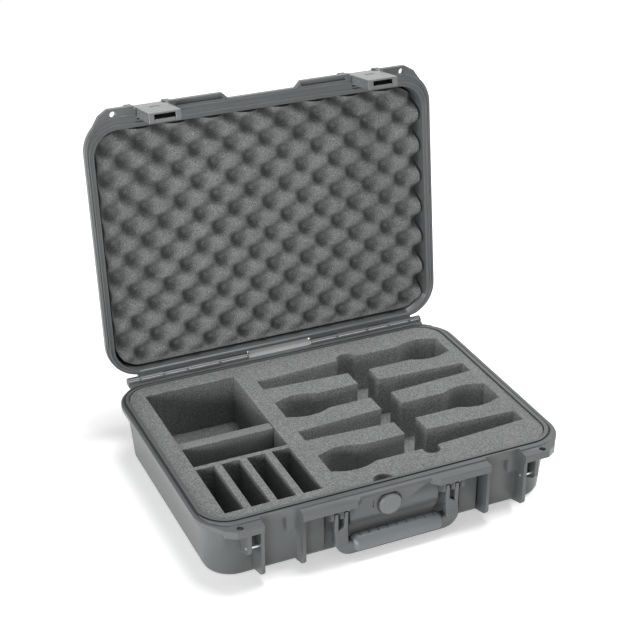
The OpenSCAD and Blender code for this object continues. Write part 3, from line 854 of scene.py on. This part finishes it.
@dataclass
class CarryHandle(SubAssembly):
    """The handle's frame and its soft grip.

    The bow is the exact frame made thicker along Y by the share that swell gives: in full
    below swell_low and less and less up to swell_top.
    """

    half: float = 0.063
    middle: tuple[float, float, float] = (0.0, -0.1845, 0.0222)
    radii: tuple[float, float] = (0.0118, 0.0118)
    end_round: float = 0.0075
    groove_pitch: float = 0.013
    groove_half: float = 0.0011
    groove_depth: float = 0.0010
    grooves: int = 9
    groove_reach: float = 0.02
    groove_clear: float = 0.002
    bow_y: float = -0.1835
    swell: float = 0.85
    swell_low: float = 0.022
    swell_top: float = 0.0435
    swell_steps: int = 8
    bow_round: float = 0.0014

    def grip(self) -> bpy.types.Object:
        """Make the grip: an oval rod with rounded ends and grooves over its top.

        Returns:
            The grip.
        """
        piece = Bench.rod("handle_soft_grip", self.middle, self.half, self.radii)
        Bench.round_edges(piece, self.end_round, segments=6, degrees=60.0)
        first = -self.groove_pitch * (self.grooves - 1) / 2
        top = self.middle[2] + self.radii[1]
        cutter = Bench.block(
            "groove_cutter",
            (
                first - self.groove_half,
                self.middle[1] - self.groove_reach,
                top - self.groove_depth,
            ),
            (
                first + self.groove_half,
                self.middle[1] + self.groove_reach,
                top + self.groove_clear,
            ),
        )
        Bench.modify(
            cutter,
            "ARRAY",
            count=self.grooves,
            use_relative_offset=False,
            use_constant_offset=True,
            constant_offset_displace=(self.groove_pitch, 0.0, 0.0),
        )
        Bench.cut(piece, cutter)
        Bench.smooth(piece)
        return piece

    def bow(self) -> bpy.types.Object:
        """Make the bow: the frame, swelling to a stout bar under the grip.

        Returns:
            The bow.
        """
        piece = Bench.from_node("handle_frame", "handle_bow")
        Bench.round_edges(piece, self.bow_round)
        reach = self.swell_top - self.swell_low
        for step in range(self.swell_steps + 1):
            level = self.swell_low + reach * step / self.swell_steps
            Bench.edit(piece)
            bpy.ops.mesh.bisect(plane_co=(0.0, 0.0, level), plane_no=(0.0, 0.0, 1.0))
            Bench.done()
        for corner in piece.data.vertices:
            part = eased((self.swell_top - corner.co.z) / reach)
            corner.co.y = self.bow_y + (corner.co.y - self.bow_y) * (1 + self.swell * part)
        Bench.smooth(piece)
        return piece

    def build(self) -> None:
        """Make the handle's pieces."""
        self.settle(self.bow(), "handle", "handle_plastic", "handle_frame")
        self.settle(self.grip(), "handle", "grip_rubber", "handle_grip")


@dataclass
class TriggerLatch(SubAssembly):
    """One latch with its trigger, pin and spring."""

    side: Side
    plate_edge: float = 0.0007
    pin_edge: float = 0.0003
    lever_edge: float = 0.0004

    def build(self) -> None:
        """Make the latch's pieces."""
        word = self.side.value
        latch = f"latch_{word}"
        lever = f"trigger_{word}"
        for node, label, body, slot, edge in (
            (f"latch_body_{word}", f"latch_plate_{word}", latch, "latch_plastic", self.plate_edge),
            (f"trigger_pin_{word}", f"trigger_pivot_{word}", latch, "pin_steel", self.pin_edge),
            (lever, f"trigger_lever_{word}", lever, "latch_plastic", self.lever_edge),
            (f"trigger_spring_{word}", f"spring_{word}", latch, "spring_steel", 0.0),
        ):
            self.moulded(node, label, body, slot, edge)


@dataclass
class PressureValve(SubAssembly):
    """The pressure valve in the base's front."""

    edge: float = 0.0003
    nut_edge: float = 0.0004

    def build(self) -> None:
        """Make the valve's pieces."""
        self.moulded("valve_body", "valve_barrel", "base", "valve_plastic", self.edge)
        self.moulded("valve_o_ring", "valve_seal", "base", "seal_rubber")
        self.moulded("valve_membrane", "valve_film", "base", "membrane")
        self.moulded("valve_cap", "valve_cover", "base", "latch_plastic", self.edge)
        self.moulded("valve_nut", "valve_ring_nut", "base", "valve_plastic", self.nut_edge)


@dataclass
class FoamInserts(SubAssembly):
    """The cut foam in the base."""

    cut_edge: float = 0.0003

    def build(self) -> None:
        """Make the tray, the divider and the sheet under them."""
        for node, label, slot in (
            ("tray_foam", "tray_insert", "foam"),
            ("divider_foam", "divider_strip", "foam"),
            ("floor_foam", "floor_sheet", "dark_foam"),
        ):
            piece = Bench.from_node(node, label)
            Bench.round_edges(piece, self.cut_edge)
            Bench.smooth(piece)
            self.settle(piece, "base", slot, node)


@dataclass
class ConvolutedFoam(SubAssembly):
    """The lid's foam: a sheet of rounded peaks and deep pits.

    Its places are those on the shut lid. The waves fade out over the width calm before the
    back edge, to the share edge_deep of their height. A sharpness above 1 widens the peaks.
    """

    wave_x: float = 0.0512
    wave_y: float = 0.046
    height: float = 0.023
    peak: tuple[float, float] = (-0.0185, -0.0721)
    side: float = 0.2365
    front: float = 0.1595
    back: float = 0.173
    corner: float = 0.034
    front_z: float = RIM + 0.004
    back_z: float = RIM + 0.052
    steps: tuple[int, int] = (290, 204)
    sharpness: float = 1.4
    calm: float = 0.014
    edge_deep: float = 0.3
    wall_start: float = 0.001
    near_back: float = 0.00001

    def level(self, x: float, y: float) -> float:
        """Work out the height of the foam's face, on the shut lid.

        Args:
            x: the point's place across the lid.
            y: its place from front to back.

        Returns:
            The height.
        """
        wave = math.cos(2 * math.pi * (x - self.peak[0]) / self.wave_x) * math.cos(
            2 * math.pi * (y - self.peak[1]) / self.wave_y
        )
        deep = ((1 - wave) / 2) ** self.sharpness
        near = eased((self.back - y) / self.calm)
        return self.front_z + self.height * (self.edge_deep + (deep - self.edge_deep) * near)

    def drawn_in(self, x: float, y: float) -> tuple[float, float]:
        """Move a point into the sheet's rounded corners.

        Args:
            x: the point's place across the lid.
            y: its place from front to back.

        Returns:
            The place on or inside the rounded outline.
        """
        over_x = max(0.0, abs(x) - (self.side - self.corner))
        reach = self.back if y > 0 else self.front
        over_y = max(0.0, abs(y) - (reach - self.corner))
        far = math.hypot(over_x, over_y)
        if far <= self.corner:
            return x, y
        keep = self.corner / far
        return (
            math.copysign(abs(x) - over_x * (1 - keep), x),
            math.copysign(abs(y) - over_y * (1 - keep), y),
        )

    def build(self) -> None:
        """Make the sheet: a grid in waves, closed by its back."""
        Bench.clear()
        bpy.ops.mesh.primitive_grid_add(
            x_subdivisions=self.steps[0], y_subdivisions=self.steps[1], size=1.0
        )
        piece = Bench.name("lid_wave_foam")
        depth = self.front + self.back
        for corner in piece.data.vertices:
            x = corner.co.x * 2 * self.side
            y = corner.co.y * depth + (self.back - self.front) / 2
            x, y = self.drawn_in(x, y)
            corner.co = (x, y, self.level(x, y))
        Bench.edit(piece)
        bpy.ops.mesh.select_all(action="DESELECT")
        bpy.ops.mesh.select_mode(type="EDGE")
        bpy.ops.mesh.select_non_manifold()
        bpy.ops.mesh.extrude_edges_move(
            TRANSFORM_OT_translate={"value": (0.0, 0.0, self.wall_start)}
        )
        Bench.done()
        for corner in piece.data.vertices:
            if corner.select:
                corner.co.z = self.back_z
        Bench.edit_edges(piece, lambda point: point.z > self.back_z - self.near_back)
        bpy.ops.mesh.edge_face_add()
        bpy.ops.mesh.select_all(action="SELECT")
        bpy.ops.mesh.normals_make_consistent(inside=False)
        Bench.done()
        Bench.put(piece, lid_place())
        Bench.smooth(piece, degrees=60.0)
        self.settle(piece, "lid", "dark_foam", "lid_foam")


# --------------------------------------------------------------------- studio


@dataclass
class Lamp:
    """One soft lamp of the studio."""

    name: str
    place: tuple[float, float, float]
    aim: tuple[float, float, float]
    size: float
    power: float

    def build(self) -> None:
        """Hang the lamp and aim it."""
        data = bpy.data.lights.new(self.name, "AREA")
        data.shape = "SQUARE"
        data.size = self.size
        data.energy = self.power
        lamp = bpy.data.objects.new(self.name, data)
        bpy.context.scene.collection.objects.link(lamp)
        lamp.location = self.place
        way = Vector(self.aim) - Vector(self.place)
        lamp.rotation_euler = way.to_track_quat("-Z", "Y").to_euler()


@dataclass
class Studio:
    """Camera, white floor, lamps and surrounding light."""

    eye: tuple[float, float, float] = (-0.728, -1.559, 1.151)
    target: tuple[float, float, float] = (-0.022, 0.0, 0.238)
    focal: float = 84.77
    sensor: float = 36.0
    clip: tuple[float, float] = (0.05, 50.0)
    floor_size: float = 3.6
    floor_drop: float = 0.0002
    floor_tone: float = 0.86
    floor_glow: float = 0.38
    lamps: list[Lamp] = field(
        default_factory=lambda: [
            Lamp("key_right", (2.2, 0.3, 1.7), (0.0, 0.0, 0.15), 1.0, 52.0),
            Lamp("side_left", (-2.2, -0.5, 0.2), (0.0, 0.0, 0.0), 1.1, 40.0),
            Lamp("front", (-1.6, -2.1, 0.3), (-0.1, -0.1, 0.05), 0.8, 38.0),
            Lamp("top", (0.2, 0.1, 2.4), (0.0, 0.0, 0.0), 0.9, 38.0),
        ]
    )
    surround: float = 0.27

    def camera(self) -> None:
        """Place the camera at the photograph's view."""
        data = bpy.data.cameras.new("Camera")
        data.sensor_width = self.sensor
        data.lens = self.focal
        data.clip_start, data.clip_end = self.clip
        camera = bpy.data.objects.new("Camera", data)
        bpy.context.scene.collection.objects.link(camera)
        camera.location = self.eye
        way = Vector(self.target) - Vector(self.eye)
        camera.rotation_euler = way.to_track_quat("-Z", "Y").to_euler()
        bpy.context.scene.camera = camera

    @staticmethod
    def seen(tree: bpy.types.NodeTree) -> bpy.types.NodeSocket:
        """Tell the rays that see the background from those that carry light.

        Args:
            tree: the tree of the floor's material or of the world.

        Returns:
            A socket that is 1 for the camera's rays and for reflections.
        """
        path = tree.nodes.new("ShaderNodeLightPath")
        either = tree.nodes.new("ShaderNodeMath")
        either.operation = "MAXIMUM"
        for ray, socket in zip(("Is Camera Ray", "Is Glossy Ray"), either.inputs):
            tree.links.new(path.outputs[ray], socket)
        return either.outputs[0]

    def floor(self) -> None:
        """Lay the white floor, which keeps the case's shadow."""
        Bench.clear()
        bpy.ops.mesh.primitive_plane_add(
            size=self.floor_size, location=(0.0, 0.0, -self.floor_drop)
        )
        floor = Bench.name("studio_floor")
        material = bpy.data.materials.new("Studio white")
        material.use_nodes = True
        nodes, links = material.node_tree.nodes, material.node_tree.links
        nodes.clear()
        diffuse = nodes.new("ShaderNodeBsdfDiffuse")
        diffuse.inputs["Color"].default_value = (*(self.floor_tone,) * 3, 1.0)
        glow = nodes.new("ShaderNodeEmission")
        glow.inputs["Strength"].default_value = self.floor_glow
        none = nodes.new("ShaderNodeEmission")
        none.inputs["Strength"].default_value = 0.0
        choose = nodes.new("ShaderNodeMixShader")
        both = nodes.new("ShaderNodeAddShader")
        output = nodes.new("ShaderNodeOutputMaterial")
        links.new(self.seen(material.node_tree), choose.inputs[0])
        links.new(none.outputs[0], choose.inputs[1])
        links.new(glow.outputs[0], choose.inputs[2])
        links.new(diffuse.outputs[0], both.inputs[0])
        links.new(choose.outputs[0], both.inputs[1])
        links.new(both.outputs[0], output.inputs["Surface"])
        floor.data.materials.append(material)

    def world(self) -> None:
        """Surround the case with white light."""
        world = bpy.data.worlds.new("Studio")
        bpy.context.scene.world = world
        world.use_nodes = True
        nodes, links = world.node_tree.nodes, world.node_tree.links
        nodes.clear()
        light = nodes.new("ShaderNodeBackground")
        light.inputs["Strength"].default_value = self.surround
        white = nodes.new("ShaderNodeBackground")
        white.inputs["Strength"].default_value = 1.0
        for shader in (light, white):
            shader.inputs["Color"].default_value = (1.0, 1.0, 1.0, 1.0)
        choose = nodes.new("ShaderNodeMixShader")
        output = nodes.new("ShaderNodeOutputWorld")
        links.new(self.seen(world.node_tree), choose.inputs[0])
        links.new(light.outputs[0], choose.inputs[1])
        links.new(white.outputs[0], choose.inputs[2])
        links.new(choose.outputs[0], output.inputs["Surface"])

    def build(self) -> None:
        """Set up the studio."""
        self.camera()
        self.floor()
        self.world()
        for lamp in self.lamps:
            lamp.build()
        bpy.context.scene.view_settings.view_transform = "Standard"
        LOG.info("studio: %d lamps", len(self.lamps))


def main() -> None:
    """Build the whole case and its studio."""
    Studio().build()
    finishes = Finishes.build()
    BaseMoulding(finishes).build()
    LidMoulding(finishes).build()
    CarryHandle(finishes).build()
    for side in Side:
        TriggerLatch(finishes, side).build()
    PressureValve(finishes).build()
    FoamInserts(finishes).build()
    ConvolutedFoam(finishes).build()
    Bench.clear()


if __name__ == "__main__":
    main()
